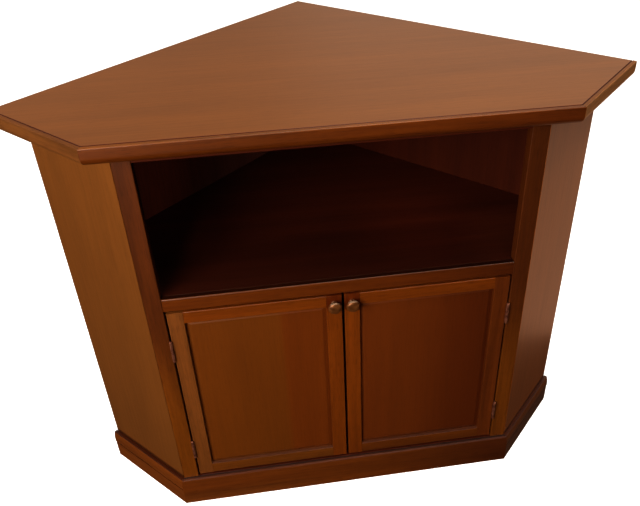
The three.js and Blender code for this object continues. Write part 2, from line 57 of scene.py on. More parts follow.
DIAGONAL = math.pi / 4
MITRE_SLOPE = math.tan(math.pi / 8)

# Sides, hinge levels, and which way each edge of the top lies from the middle
SIDES = ("left", "right")
LEVELS = ("upper", "lower")
HANDS = {"left": -1.0, "front": 0.0, "right": 1.0}

# Camera: its place in metres, its angles in radians, its lens and sensor in millimetres
CAMERA_PLACE = (-0.1140, -1.1852, 1.1905)
CAMERA_HEADING = -0.1289
CAMERA_PITCH = 0.5819
CAMERA_ROLL = -0.0298
CAMERA_LENS = 38.42
CAMERA_SENSOR = 36.0
CAMERA_SHIFT = (-0.0353, -0.0263)
CAMERA_CLIP = (0.01, 100.0)


def camera():
    data = bpy.data.cameras.new("camera")
    data.sensor_width = CAMERA_SENSOR
    data.sensor_fit = "HORIZONTAL"
    data.lens = CAMERA_LENS
    data.shift_x, data.shift_y = CAMERA_SHIFT
    data.clip_start, data.clip_end = CAMERA_CLIP
    obj = bpy.data.objects.new("camera", data)
    turn = (
        Matrix.Rotation(CAMERA_HEADING, 4, "Z")
        @ Matrix.Rotation(QUARTER - CAMERA_PITCH, 4, "X")
        @ Matrix.Rotation(CAMERA_ROLL, 4, "Z")
    )
    obj.matrix_world = Matrix.Translation(CAMERA_PLACE) @ turn
    bpy.context.scene.collection.objects.link(obj)
    bpy.context.scene.camera = obj


# The colour sockets of a Mix node, by number because its other sockets have the same names
MIX_FIRST = 6
MIX_SECOND = 7
MIX_RESULT = 2


class Tree:
    """A short way to add nodes to a node tree and to link them."""

    def __init__(self, tree):
        self.tree = tree

    def add(self, kind, **values):
        node = self.tree.nodes.new(kind)
        for key, value in values.items():
            setattr(node, key, value)
        return node

    def link(self, out, into):
        self.tree.links.new(out, into)

    def step(self, value, start, end, low=0.0, high=1.0):
        """Low where the value is at start or before it, high at end or past it, and smooth between them."""
        span = self.add("ShaderNodeMapRange", interpolation_type="SMOOTHSTEP")
        span.inputs["From Min"].default_value = start
        span.inputs["From Max"].default_value = end
        span.inputs["To Min"].default_value = low
        span.inputs["To Max"].default_value = high
        self.link(value, span.inputs["Value"])
        return span.outputs["Result"]

    def combine(self, operation, first, second):
        node = self.add("ShaderNodeMath", operation=operation)
        self.link(first, node.inputs[0])
        self.link(second, node.inputs[1])
        return node.outputs["Value"]

    def both(self, first, second):
        """The product of two factors."""
        return self.combine("MULTIPLY", first, second)


class Surface(Tree):
    """A new material. Its colour and roughness can be changed until done() links them to the shader."""

    def __init__(self, name):
        self.material = bpy.data.materials.new(name)
        self.material.use_nodes = True
        super().__init__(self.material.node_tree)
        self.shader = self.tree.nodes["Principled BSDF"]
        self.color = None
        self.rough = None

    def fix(self, socket, value):
        """Sets a socket of the shader to one value all over."""
        self.shader.inputs[socket].default_value = value

    def done(self):
        self.link(self.color, self.shader.inputs["Base Color"])
        if self.rough is not None:
            self.link(self.rough, self.shader.inputs["Roughness"])
        return self.material

    def coordinates(self, grain, shift=(0.0, 0.0, 0.0)):
        """Object coordinates turned so that X runs along the grain."""
        place = self.add("ShaderNodeTexCoord")
        turn = self.add("ShaderNodeMapping")
        turn.inputs["Rotation"].default_value = grain
        turn.inputs["Location"].default_value = shift
        self.link(place.outputs["Object"], turn.inputs["Vector"])
        return turn.outputs["Vector"]

    def noise(self, place, scale, stretch=(1.0, 1.0, 1.0), detail=4.0, roughness=0.5, distortion=0.0):
        size = self.add("ShaderNodeMapping")
        size.inputs["Scale"].default_value = stretch
        self.link(place, size.inputs["Vector"])
        noise = self.add("ShaderNodeTexNoise")
        noise.inputs["Scale"].default_value = scale
        noise.inputs["Detail"].default_value = detail
        noise.inputs["Roughness"].default_value = roughness
        noise.inputs["Distortion"].default_value = distortion
        self.link(size.outputs["Vector"], noise.inputs["Vector"])
        return noise.outputs["Fac"]

    def ramp(self, factor, stops):
        """Blends two colours. Each of the two stops is a factor and the colour there."""
        ramp = self.add("ShaderNodeValToRGB")
        for element, (place, color) in zip(ramp.color_ramp.elements, stops):
            element.position = place
            element.color = (*color, 1.0)
        self.link(factor, ramp.inputs["Fac"])
        return ramp.outputs["Color"]

    def mix(self, factor, first, second, blend="MIX"):
        mix = self.add("ShaderNodeMix", data_type="RGBA", blend_type=blend)
        if isinstance(factor, float):
            mix.inputs["Factor"].default_value = factor
        else:
            self.link(factor, mix.inputs["Factor"])
        for value, socket in ((first, mix.inputs[MIX_FIRST]), (second, mix.inputs[MIX_SECOND])):
            if isinstance(value, tuple):
                socket.default_value = (*value, 1.0)
            else:
                self.link(value, socket)
        return mix.outputs[MIX_RESULT]

    def between(self, factor, low, high):
        span = self.add("ShaderNodeMapRange")
        span.inputs["To Min"].default_value = low
        span.inputs["To Max"].default_value = high
        self.link(factor, span.inputs["Value"])
        return span.outputs["Result"]

    def dot(self, vector, direction):
        product = self.add("ShaderNodeVectorMath", operation="DOT_PRODUCT")
        self.link(vector, product.inputs[0])
        product.inputs[1].default_value = direction
        return product.outputs["Value"]

    def along(self, direction, start, end):
        """The step of how far a place lies in a direction, in metres."""
        place = self.add("ShaderNodeTexCoord")
        return self.step(self.dot(place.outputs["Object"], direction), start, end)

    def facing(self, direction, start, end):
        """The step of how squarely a face looks in a direction: 1 is straight that way, 0 is edge on."""
        surface = self.add("ShaderNodeNewGeometry")
        return self.step(self.dot(surface.outputs["Normal"], direction), start, end)

    def band(self, direction, low, high, soft):
        """1 between two distances in a direction, and 0 beyond a soft edge on either side."""
        above = self.along(direction, low - soft, low)
        below = self.along(direction, high + soft, high)
        return self.both(above, below)

    def near(self, centre, inner, outer):
        """1 within the inner distance of a point and 0 past the outer one."""
        place = self.add("ShaderNodeTexCoord")
        distance = self.add("ShaderNodeVectorMath", operation="DISTANCE")
        self.link(place.outputs["Object"], distance.inputs[0])
        distance.inputs[1].default_value = centre
        return self.step(distance.outputs["Value"], outer, inner)

    def stain(self, factor, tint):
        """Multiplies the colour by a tint where the factor is 1."""
        self.color = self.mix(factor, self.color, self.mix(1.0, self.color, tint, "MULTIPLY"))
        return self

    def matt(self, factor):
        """Takes the shine off where the factor is 1."""
        self.rough = self.combine("MAXIMUM", self.rough, factor)
        return self

    def bump(self, height, distance, strength):
        bump = self.add("ShaderNodeBump")
        bump.inputs["Distance"].default_value = distance
        bump.inputs["Strength"].default_value = strength
        self.link(height, bump.inputs["Height"])
        self.link(bump.outputs["Normal"], self.shader.inputs["Normal"])


# The noises that make up a wood, and the tints that they give it
CLOUDS = {"scale": 4.0, "stretch": (0.5, 1.0, 1.0), "detail": 2.0}
CLOUD_TINTS = ((0.3, (0.93, 0.92, 0.91)), (0.7, (1.06, 1.07, 1.08)))
RIBBONS = {"scale": 9.0, "stretch": (0.22, 3.0, 3.0), "detail": 3.0, "distortion": 0.3}
RIBBON_STOPS = (0.3, 0.7)
STREAKS = {"scale": 240.0, "stretch": (0.03, 1.0, 1.0), "detail": 4.0, "roughness": 0.55}
STREAK_TINTS = ((0.32, (0.8, 0.76, 0.72)), (0.58, (1.04, 1.04, 1.04)))
STREAK_ROUGHNESS = (0.05, -0.03)
PORES = {"scale": 1000.0, "stretch": (0.045, 1.0, 1.0), "detail": 1.0}
PORE_TINTS = ((0.34, (0.5, 0.44, 0.4)), (0.45, (1.0, 1.0, 1.0)))
PORE_SHARE = 0.6
PORE_DEPTH = 0.00005
PORE_STRENGTH = 0.5
COAT_ROUGHNESS = 0.18

# A finish: roughness, clear coat, specular level, and how strong the figure and the fine texture are
Finish = namedtuple("Finish", "rough coat shine figure texture")
VENEER = Finish(rough=0.36, coat=0.25, shine=0.5, figure=0.07, texture=0.45)
VARNISHED = Finish(rough=0.34, coat=0.25, shine=0.5, figure=0.22, texture=0.95)
EDGES = Finish(rough=0.40, coat=0.10, shine=0.35, figure=0.34, texture=0.95)
WAXED = Finish(rough=0.46, coat=0.0, shine=0.3, figure=0.16, texture=0.6)
DULL = Finish(rough=0.70, coat=0.0, shine=0.1, figure=0.16, texture=0.5)
DIRTY = Finish(rough=0.90, coat=0.0, shine=0.0, figure=0.16, texture=0.5)
BARE = Finish(rough=0.60, coat=0.0, shine=0.5, figure=0.16, texture=0.7)

# The turn that lays the noise along the grain
ALONG_X = (0.0, 0.0, 0.0)
ALONG_Z = (0.0, QUARTER, 0.0)
ALONG_LEFT = (0.0, 0.0, DIAGONAL)
ALONG_RIGHT = (0.0, 0.0, -DIAGONAL)

# Tones that several woods share
STAINED = (0.20, 0.048, 0.0032)
INNER = (0.078, 0.0150, 0.0048)
SIDE_PLINTH = (0.185, 0.050, 0.0062)

# Every wood: its tone, its grain, its finish, and how far its noise is shifted
Board = namedtuple("Board", "tone grain finish shift", defaults=[(0.0, 0.0, 0.0)])
BOARDS = {
    "top_veneer": Board((0.20, 0.064, 0.0068), ALONG_X, VENEER),
    # Painted light: the three lippings are one wood, and their tones stand for the light on each face,
    # brightest on the right lipping
    "front_edge": Board((0.150, 0.036, 0.0024), ALONG_X, EDGES, (0.5, 0.3, 0.1)),
    "left_edge": Board((0.170, 0.062, 0.0140), ALONG_LEFT, EDGES, (0.5, 0.3, 0.1)),
    "right_edge": Board((0.50, 0.190, 0.0220), ALONG_RIGHT, EDGES, (0.5, 0.3, 0.1)),
    "groove_wood": Board((0.11, 0.040, 0.012), ALONG_X, DIRTY),
    # Painted shade: the front top rail takes the dark inner tone, for the shade under the top's overhang
    "top_rail_wood": Board(INNER, ALONG_X, DULL, (0.2, 0.2, 0.2)),
    "front_stile_wood": Board((0.205, 0.060, 0.0055), ALONG_Z, VARNISHED, (0.3, 0.2, 0.0)),
    # Painted light: the two side panels are one veneer, and their tones stand for the light on each side
    "left_side": Board((0.200, 0.070, 0.0125), ALONG_Z, VENEER),
    "right_side": Board((0.34, 0.094, 0.0068), ALONG_Z, VENEER),
    "shelf_edge_wood": Board((0.150, 0.036, 0.0030), ALONG_X, VARNISHED, (0.1, 0.1, 0.5)),
    "shelf_veneer": Board(INNER, ALONG_X, WAXED, (0.4, 0.0, 0.2)),
    "inside_across": Board(INNER, ALONG_X, WAXED),
    # Painted light and shade: inside, the back panels are one wood, with the shaded left one painted bright
    # and the lit right one dark
    "left_inside_upright": Board((0.60, 0.160, 0.080), ALONG_Z, DULL),
    "right_inside_upright": Board((0.052, 0.0085, 0.0016), ALONG_Z, DULL),
    "corner_post_wood": Board(INNER, ALONG_Z, DULL),
    "plain_timber": Board((0.27, 0.16, 0.08), ALONG_Z, BARE),
    # Painted shade: the front plinth's tone is darker because less light reaches it
    "front_plinth_wood": Board((0.163, 0.043, 0.0062), ALONG_X, VARNISHED, (0.9, 0.1, 0.2)),
    "left_plinth_side": Board(SIDE_PLINTH, ALONG_LEFT, VARNISHED, (0.7, 0.2, 0.1)),
    "right_plinth_side": Board(SIDE_PLINTH, ALONG_RIGHT, VARNISHED, (0.7, 0.2, 0.1)),
    "door_top_rail_wood": Board(STAINED, ALONG_X, VARNISHED, (0.3, 0.1, 0.2)),
    "left_meeting_stile_wood": Board(STAINED, ALONG_Z, VARNISHED, (0.6, 0.1, 0.3)),
    "right_meeting_stile_wood": Board(STAINED, ALONG_Z, VARNISHED, (0.6, 0.1, 0.3)),
    # Painted shade: the right-hand door pieces have darker tones than the left ones, for the light that
    # falls off to the right
    "left_hinge_stile_wood": Board((0.203, 0.069, 0.0150), ALONG_Z, VARNISHED, (0.1, 0.4, 0.0)),
    "right_hinge_stile_wood": Board((0.140, 0.034, 0.0050), ALONG_Z, VARNISHED, (0.1, 0.4, 0.0)),
    "left_bottom_rail_wood": Board((0.178, 0.055, 0.0075), ALONG_X, VARNISHED, (0.8, 0.3, 0.2)),
    "right_bottom_rail_wood": Board((0.162, 0.044, 0.0053), ALONG_X, VARNISHED, (0.8, 0.3, 0.2)),
    "left_door_veneer": Board((0.163, 0.0455, 0.0045), ALONG_Z, VENEER, (0.0, 0.2, 0.7)),
    "right_door_veneer": Board((0.152, 0.035, 0.0042), ALONG_Z, VENEER, (0.0, 0.2, 0.7)),
}


class Wood(Surface):
    """One of BOARDS: a slow ribbon figure, fine streaks along the grain and short dark pores."""

    def __init__(self, name):
        super().__init__(name)
        board = BOARDS[name]
        finish = board.finish
        self.tone = board.tone
        place = self.coordinates(board.grain, board.shift)
        clouds = self.noise(place, **CLOUDS)
        ribbons = self.noise(place, **RIBBONS)
        streaks = self.noise(place, **STREAKS)
        pores = self.noise(place, **PORES)
        dark = tuple(value * (1.0 - finish.figure) for value in board.tone)
        light = tuple(value * (1.0 + finish.figure) for value in board.tone)
        color = self.ramp(ribbons, zip(RIBBON_STOPS, (dark, light)))
        color = self.mix(1.0, color, self.ramp(clouds, CLOUD_TINTS), "MULTIPLY")
        color = self.mix(finish.texture, color, self.ramp(streaks, STREAK_TINTS), "MULTIPLY")
        self.color = self.mix(PORE_SHARE * finish.texture, color, self.ramp(pores, PORE_TINTS), "MULTIPLY")
        self.rough = self.between(streaks, *(finish.rough + change for change in STREAK_ROUGHNESS))
        self.fix("Specular IOR Level", finish.shine)
        self.fix("Coat Weight", finish.coat)
        self.fix("Coat Roughness", COAT_ROUGHNESS)
        self.bump(pores, PORE_DEPTH, PORE_STRENGTH)


# Fine pieces, in millimetres. Mouldings and knobs take the size and place of the plain pieces they replace.
MM = 0.001
ARC_STEP = math.radians(4.0)
FEWEST_ARC_STEPS = 3
SHARP_ANGLE = math.radians(28.0)
JOINT_GAP = 0.3
LIPPING_WIDTH = 7.5
LIPPING_VEE = 0.9
LIPPING_UPPER_ROUND = 2.0
LIPPING_LOWER_ROUND = 13.0
KNOB_STEPS = 72
KNOB_BORE = 2.15
KNOB_BORE_DEPTH = 10.3
KNOB_FOOT = 6.5
KNOB_FOOT_HEIGHT = 2.0
KNOB_FOOT_SHARE = 0.7
KNOB_FOOT_ARRIS = 0.3
KNOB_FOOT_ROUND = 0.5
KNOB_COLLAR_FLARE = 0.5
KNOB_COLLAR_LIFT = 0.5
KNOB_COLLAR_ROUND = 0.8
KNOB_NECK = 4.6
KNOB_NECK_DROP = 1.4
KNOB_NECK_ROUND = 1.6
KNOB_HEAD_HEIGHT = 9.0
KNOB_UNDERSIDE_INSET = 1.4
KNOB_UNDERSIDE_ROUND = 0.9
KNOB_RIM_LIFT = 2.2
KNOB_RIM_ROUND = 1.6
KNOB_RIM_HEIGHT = 1.0
DOME_POWER = 2.7
DOME_STEPS = 26
HINGE_GAP = 3.0
HINGE_SCREW_SETBACK = 4.0
HINGE_SCREW_SINK = 0.35
HINGE_SCREW_PLACES = (-1, 0, 1)
PIN_SPACING = 78.0
PIN_FROM_END = 12.0
PIN_FROM_EDGE = 18.0

# Half sections of the fastenings: radius and height in millimetres, from under the head to its crown
FASTENING_STEPS = 24
SCREW_HEAD = ((0.0, -1.0), (1.2, -1.0), (2.1, -0.15), (2.0, 0.0), (0.9, 0.08), (0.0, 0.1))
PIN_HEAD = ((0.0, -0.1), (1.6, -0.1), (1.6, 0.15), (0.96, 0.42), (0.0, 0.5))

# Where each coordinate stands in a corner of extents()
X, Y, Z = range(3)


def extents(name):
    """The lowest and highest corner of a plain piece, in millimetres."""
    low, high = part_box(name)
    return [value / MM for value in low], [value / MM for value in high]


def outline(corners):
    """The points through corners of (x, y) or (x, y, radius), with an arc at each round one."""
    points = []
    count = len(corners)
    for i, (x, y, *rounding) in enumerate(corners):
        if not rounding:
            points.append(Vector((x, y)))
            continue
        corner = Vector((x, y))
        before = (Vector(corners[i - 1][:2]) - corner).normalized()
        after = (Vector(corners[(i + 1) % count][:2]) - corner).normalized()
        half = before.angle(after) / 2
        centre = corner + (before + after).normalized() * (rounding[0] / math.sin(half))
        start = corner + before * (rounding[0] / math.tan(half)) - centre
        turn = math.pi - 2 * half
        if start.x * after.y - start.y * after.x < 0:
            turn = -turn
        steps = max(FEWEST_ARC_STEPS, math.ceil(abs(turn) / ARC_STEP))
        for step in range(steps + 1):
            points.append(centre + Matrix.Rotation(turn * step / steps, 2) @ start)
    return points


def moulding(section, start, end, start_slope, end_slope):
    """Vertices and faces of a moulding along X with its outside towards -Y.

    The section gives distance outwards and height, and an end grows by its slope for each step outwards.
    """
    count = len(section)
    near = [(start - out * start_slope, -out, height) for out, height in section]
    far = [(end + out * end_slope, -out, height) for out, height in section]
    faces = [(i, i + count, (i + 1) % count + count, (i + 1) % count) for i in range(count)]
    faces.append(tuple(range(count)))
    faces.append(tuple(reversed(range(count, 2 * count))))
    return near + far, faces


def turned(profile, steps):
    """Vertices and faces of a solid of revolution about Z from (radius, height) points, pole to pole."""
    vertices = [(0.0, 0.0, profile[0][1])]
    rings = profile[1:-1]
    for radius, height in rings:
        for step in range(steps):
            angle = 2 * math.pi * step / steps
            vertices.append((radius * math.cos(angle), radius * math.sin(angle), height))
    vertices.append((0.0, 0.0, profile[-1][1]))
    last = len(vertices) - 1
    faces = []
    for step in range(steps):
        following = (step + 1) % steps
        faces.append((0, 1 + following, 1 + step))
        for ring in range(len(rings) - 1):
            base = 1 + ring * steps
            faces.append((base + step, base + following, base + steps + following, base + steps + step))
        base = last - steps
        faces.append((base + step, base + following, last))
    return vertices, faces


def several(shape, places):
    """Vertices and faces of copies of one shape, each at its own place in millimetres."""
    vertices, faces = [], []
    for place in places:
        first = len(vertices)
        vertices += [place @ Vector(vertex) for vertex in shape[0]]
        faces += [tuple(first + index for index in face) for face in shape[1]]
    return vertices, faces


def solid(name, shape, place, material, body, plain=()):
    """A piece from its vertices and faces, shaded smooth except where its faces meet at a real edge."""
    vertices, faces = shape
    mesh = bpy.data.meshes.new(name)
    mesh.from_pydata([place @ (Vector(vertex) * MM) for vertex in vertices], [], faces)
    mesh.validate()
    mesh.set_sharp_from_angle(angle=SHARP_ANGLE)
    mesh.materials.append(material)
    obj = bpy.data.objects.new(name, mesh)
    bpy.context.scene.collection.objects.link(obj)
    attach(obj, body)
    if plain:
        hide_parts(*plain)
    return obj


def lipping_section():
    """Distance outwards and height round the section of a lipping, which reaches in under the top panel."""
    low, high = extents("front_top_lipping")
    underlay = high[Y] - low[Y]
    board = extents("top_panel")[0][Z]
    return outline([
        (-underlay, low[Z]),
        (0.0, low[Z], LIPPING_LOWER_ROUND),
        (0.0, high[Z], LIPPING_UPPER_ROUND),
        (LIPPING_VEE - LIPPING_WIDTH, high[Z]),
        (-LIPPING_WIDTH, high[Z] - LIPPING_VEE),
        (-LIPPING_WIDTH, board),
        (-underlay, board),
    ])


# The chamfer of the groove is known by the way its face looks, inwards and up
GROOVE_INWARDS = 0.4
GROOVE_UP = (0.5, 0.9)


def dark_groove(obj, inwards, material):
    """The chamfer beside the veneer, where polish and dirt have gathered, takes a finish of its own."""
    obj.data.materials.append(material)
    least, most = GROOVE_UP
    for face in obj.data.polygons:
        if face.normal.dot(inwards) > GROOVE_INWARDS and least < face.normal.z < most:
            face.material_index = 1


def top_lippings(finishes, groove):
    low, high = extents("front_top_lipping")
    gap = JOINT_GAP / 2
    corner = high[X] + gap
    wing = extents("right_top_lipping")[1][X] - high[X] - gap
    length = wing * math.sqrt(2)
    section = lipping_section()
    runs = {
        "front": (-high[X], high[X], MITRE_SLOPE, MITRE_SLOPE),
        "right": (gap, length, MITRE_SLOPE, 0.0),
        "left": (-length, -gap, 0.0, MITRE_SLOPE),
    }
    for edge, run in runs.items():
        hand = HANDS[edge]
        place = Matrix.Translation((hand * corner * MM, low[Y] * MM, 0.0))
        place = place @ Matrix.Rotation(hand * DIAGONAL, 4, "Z")
        obj = solid(edge + "_top_moulding", moulding(section, *run), place, finishes[edge], "cabinet",
                    [edge + "_top_lipping"])
        dark_groove(obj, BACK - RIGHT * hand, groove)


def dome(radius, rim, crown):
    """The points of a squarish dome, from its rim up to its crown."""
    points = []
    for step in range(DOME_STEPS):
        angle = QUARTER * step / DOME_STEPS
        out = radius * math.cos(angle) ** (2 / DOME_POWER)
        up = (crown - rim) * math.sin(angle) ** (2 / DOME_POWER)
        points.append(Vector((out, rim + up)))
    points.append(Vector((0.0, crown)))
    return points


def knob_profile(radius, projection):
    """Half the section of a knob, from the end of its screw hole round its foot and head to its crown."""
    under = projection - KNOB_HEAD_HEIGHT
    rim = under + KNOB_RIM_LIFT
    stem = outline([
        (KNOB_BORE, KNOB_BORE_DEPTH),
        (KNOB_BORE, 0.0),
        (KNOB_FOOT, 0.0, KNOB_FOOT_ARRIS),
        (KNOB_FOOT, KNOB_FOOT_HEIGHT * KNOB_FOOT_SHARE, KNOB_FOOT_ROUND),
        (KNOB_NECK + KNOB_COLLAR_FLARE, KNOB_FOOT_HEIGHT + KNOB_COLLAR_LIFT, KNOB_COLLAR_ROUND),
        (KNOB_NECK, under - KNOB_NECK_DROP, KNOB_NECK_ROUND),
        (radius - KNOB_UNDERSIDE_INSET, under, KNOB_UNDERSIDE_ROUND),
        (radius, rim, KNOB_RIM_ROUND),
    ])
    return [Vector((0.0, KNOB_BORE_DEPTH))] + stem[:-1] + dome(radius, rim + KNOB_RIM_HEIGHT, projection)


def knobs(material):
    for side in SIDES:
        low, high = extents(side + "_door_knob")
        shape = turned(knob_profile((high[X] - low[X]) / 2, high[Y] - low[Y]), KNOB_STEPS)
        middle = ((low[X] + high[X]) / 2 * MM, high[Y] * MM, (low[Z] + high[Z]) / 2 * MM)
        place = Matrix.Translation(middle) @ Matrix.Rotation(QUARTER, 4, "X")
        solid(side + "_knob", shape, place, material, side + "_door", [side + "_door_knob"])


def hinge_screws(material):
    """Countersunk heads in the holes of each leaf, which look into the gap beside the door."""
    head = turned(SCREW_HEAD, FASTENING_STEPS)
    for side in SIDES:
        for level in LEVELS:
            low, high = extents(f"{side}_{level}_hinge_cabinet_leaf")
            axis = (low[X] + high[X]) / 2
            depth = high[Y] - HINGE_SCREW_SETBACK
            middle = (low[Z] + high[Z]) / 2
            spacing = (high[Z] - low[Z]) / len(HINGE_SCREW_PLACES)
            heights = [middle + place * spacing for place in HINGE_SCREW_PLACES]
            leaves = (("cabinet", HANDS[side], "cabinet"), ("door", -HANDS[side], side + "_door"))
            for leaf, towards, body in leaves:
                across = axis + towards * (HINGE_GAP / 2 + HINGE_SCREW_SINK)
                turn = Matrix.Rotation(-towards * QUARTER, 4, "Y")
                places = [Matrix.Translation((across, depth, height)) @ turn for height in heights]
                solid(f"{side}_{level}_hinge_{leaf}_screws", several(head, places), Matrix(), material,
                      body)


def back_pins(material):
    """The pins that hold the back panels to the posts, in a row down each upright edge."""
    head = turned(PIN_HEAD, FASTENING_STEPS)
    for side in SIDES:
        hand = HANDS[side]
        low, high = extents(side + "_back_panel")
        corner = Vector((low[X] if hand > 0 else high[X], high[Y], 0.0))
        run = (RIGHT * hand - BACK).normalized()
        length = (high[X] - low[X]) * math.sqrt(2)
        rows = int((high[Z] - PIN_FROM_END) // PIN_SPACING)
        gap = (high[Z] - 2 * PIN_FROM_END) / rows
        turn = (RIGHT * hand + BACK).normalized().to_track_quat("Z", "Y").to_matrix().to_4x4()
        places = []
        for along in (PIN_FROM_EDGE, length - PIN_FROM_EDGE):
            for row in range(rows + 1):
                point = corner + run * along + UP * (PIN_FROM_END + row * gap)
                places.append(Matrix.Translation(point) @ turn)
        solid(side + "_back_pins", several(head, places), Matrix(), material, "cabinet")


def give(material, *names):
    for name in names:
        mesh = nodes[name].data
        mesh.materials.clear()
        mesh.materials.append(material)


# A span says where a stain starts and where it is full, in metres or, for the way a face looks, as a cosine
# Painted shade: the span and tint that darken the right end of a front piece, where less light falls
RIGHT_END_SHADE_SPAN = (-0.15, 0.35)
RIGHT_END_SHADE = (0.62, 0.58, 0.85)
# Painted shade: the span and tint for faces that look upwards
UPWARD_SPAN = (0.2, 0.6)
UPWARD_FACE_SHADE = (0.55, 0.50, 0.70)


def shade_towards_right_end(wood, span=RIGHT_END_SHADE_SPAN):
    """Painted shade: the colour darkens towards the right end of a piece across the front, where less light
    falls.
    """
    return wood.stain(wood.along(RIGHT, *span), RIGHT_END_SHADE)


def shade_upward_faces(wood):
    """Painted shade: whatever looks upwards, such as the upper arris, is darker, which takes back the extra
    light it gets from above; it has also lost its shine.
    """
    arris = wood.facing(UP, *UPWARD_SPAN)
    return wood.stain(arris, UPWARD_FACE_SHADE).matt(arris)


# The top: its dirty seam, and lippings with a strip in the top's tone and a painted highlight or painted
# shade on the arris
TOP_EDGE_SPAN = (0.97, 0.85)
TOP_EDGE = (0.6, 0.4, 0.4)
SEAM_WIDTHS = {"left": 0.0008, "front": 0.0016, "right": 0.0008}
SEAM_SOFT = 0.0006
SEAM = (0.50, 0.24, 0.03)
STRIP_SPAN = (0.90, 0.98)
STRIP_TONE = (0.20, 0.063, 0.0053)
ARRIS_UPPER_SPAN = (0.92, 0.80)
ARRIS_LOWER_SPAN = (0.15, 0.40)
# Painted highlight on the front lipping's arris, painted shade on the right one
LIPPING_ARRIS_LIGHT_AND_SHADE = {"front": (1.3, 1.6, 2.6), "right": (0.42, 0.44, 0.70)}


def dirty_seams(top):
    """Dirt lies on the veneer along the groove of each lipping."""
    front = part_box("top_panel")[0].y
    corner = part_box("front_top_lipping")[1].x - LIPPING_WIDTH * MM * MITRE_SLOPE
    for edge, hand in HANDS.items():
        outwards = (RIGHT * hand - BACK).normalized()
        reach = outwards.dot(Vector((hand * corner, front, 0.0))) - SEAM_WIDTHS[edge]
        seam = top.along(outwards, reach - SEAM_SOFT, reach)
        top.stain(seam, SEAM).matt(seam)


def lipping_finish(edge):
    wood = Wood(edge + "_edge")
    if edge == "front":
        # Painted shade towards the right end of the front lipping
        shade_towards_right_end(wood)
    # The upward face takes the top's tone, and the other faces keep the painted light of their lipping's
    # tone
    strip = tuple(top / side for top, side in zip(STRIP_TONE, wood.tone))
    wood.stain(wood.facing(UP, *STRIP_SPAN), strip)
    if edge in LIPPING_ARRIS_LIGHT_AND_SHADE:
        # Painted highlight or painted shade on the rounded arris
        arris = wood.both(wood.facing(UP, *ARRIS_UPPER_SPAN), wood.facing(UP, *ARRIS_LOWER_SPAN))
        wood.stain(arris, LIPPING_ARRIS_LIGHT_AND_SHADE[edge])
    return wood.done()


def finish_top():
    top = Wood("top_veneer")
    top.stain(top.facing(UP, *TOP_EDGE_SPAN), TOP_EDGE)
    dirty_seams(top)
    give(top.done(), "top_panel")
    finishes = {edge: lipping_finish(edge) for edge in HANDS}
    top_lippings(finishes, Wood("groove_wood").done())
    # The top rail's dark tone is painted shade under the top
    give(Wood("top_rail_wood").done(), "front_top_rail")


# The carcass: stiles that darken upwards and the shelf's dark front and ledge in painted shade, painted
# light on the shelf's far corner and in pools, and the back panels
# Painted shade: the stiles darken upwards, under the top's overhang
STILE_SHADE_SPAN = (0.20, 0.48)
STILE_UNDER_TOP_SHADE = (0.50, 0.44, 0.85)
# Painted shade: the upper face of the shelf's lipping is dark, under the top
LEDGE_SPAN = (0.85, 0.98)
LEDGE = (0.22, 0.20, 0.40)
# Painted shade: the front of the shelf is darker
SHELF_FRONT_SHADE_SPAN = (0.0, -0.25)
SHELF_FRONT_SHADE = (0.6, 0.6, 0.6)
# Painted light: the far left rear corner of the shelf is lighter
SHELF_LEFT_SPAN = (-0.20, -0.29)
SHELF_REAR_SPAN = (-0.21, -0.11)
SHELF_CORNER_LIGHT = (2.6, 2.6, 2.6)
# Painted pools of light on the shelf, each lighter round a point
POOL_CORE = 0.01
LightPool = namedtuple("LightPool", "x y reach tint")
SHELF_LIGHT_POOLS = (
    LightPool(x=0.17, y=-0.14, reach=0.17, tint=(1.7, 1.6, 1.6)),
    LightPool(x=0.33, y=-0.21, reach=0.13, tint=(1.9, 2.2, 2.2)),
)
# Painted shade: the left back panel darkens towards the back corner
LEFT_WALL_SHADE_SPAN = (-0.33, -0.20)
LEFT_WALL_SHADE = (0.24, 0.30, 0.40)
OUTSIDE_SPAN = (0.3, 0.6)
OUTSIDE_TONE = (0.20, 0.095, 0.042)


def finish_shelf():
    # Painted shade towards the right end of the shelf's lipping
    edge = shade_towards_right_end(Wood("shelf_edge_wood"))
    # Painted shade on the lipping's upper face
    edge.stain(edge.facing(UP, *LEDGE_SPAN), LEDGE)
    give(edge.done(), "shelf_lipping")
    shelf = Wood("shelf_veneer")
    # Painted shade on the front of the shelf
    shelf.stain(shelf.along(BACK, *SHELF_FRONT_SHADE_SPAN), SHELF_FRONT_SHADE)
    # Painted light on the shelf's far left rear corner
    corner = shelf.both(shelf.along(RIGHT, *SHELF_LEFT_SPAN), shelf.along(BACK, *SHELF_REAR_SPAN))
    shelf.stain(corner, SHELF_CORNER_LIGHT)
    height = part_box("middle_shelf")[1].z
    # Painted pools of light
    for pool in SHELF_LIGHT_POOLS:
        shelf.stain(shelf.near((pool.x, pool.y, height), POOL_CORE, pool.reach), pool.tint)
    give(shelf.done(), "middle_shelf")


def finish_back_panel(side):
    """The outside has a tone of its own; inside, the left panel darkens in painted shade towards the back
    corner.
    """
    back = Wood(side + "_inside_upright")
    if side == "left":
        # Painted shade towards the back corner
        back.stain(back.along(RIGHT, *LEFT_WALL_SHADE_SPAN), LEFT_WALL_SHADE)
    outside = tuple(outer / inner for outer, inner in zip(OUTSIDE_TONE, back.tone))
    back.stain(back.facing(BACK, *OUTSIDE_SPAN), outside)
    give(back.done(), side + "_back_panel")


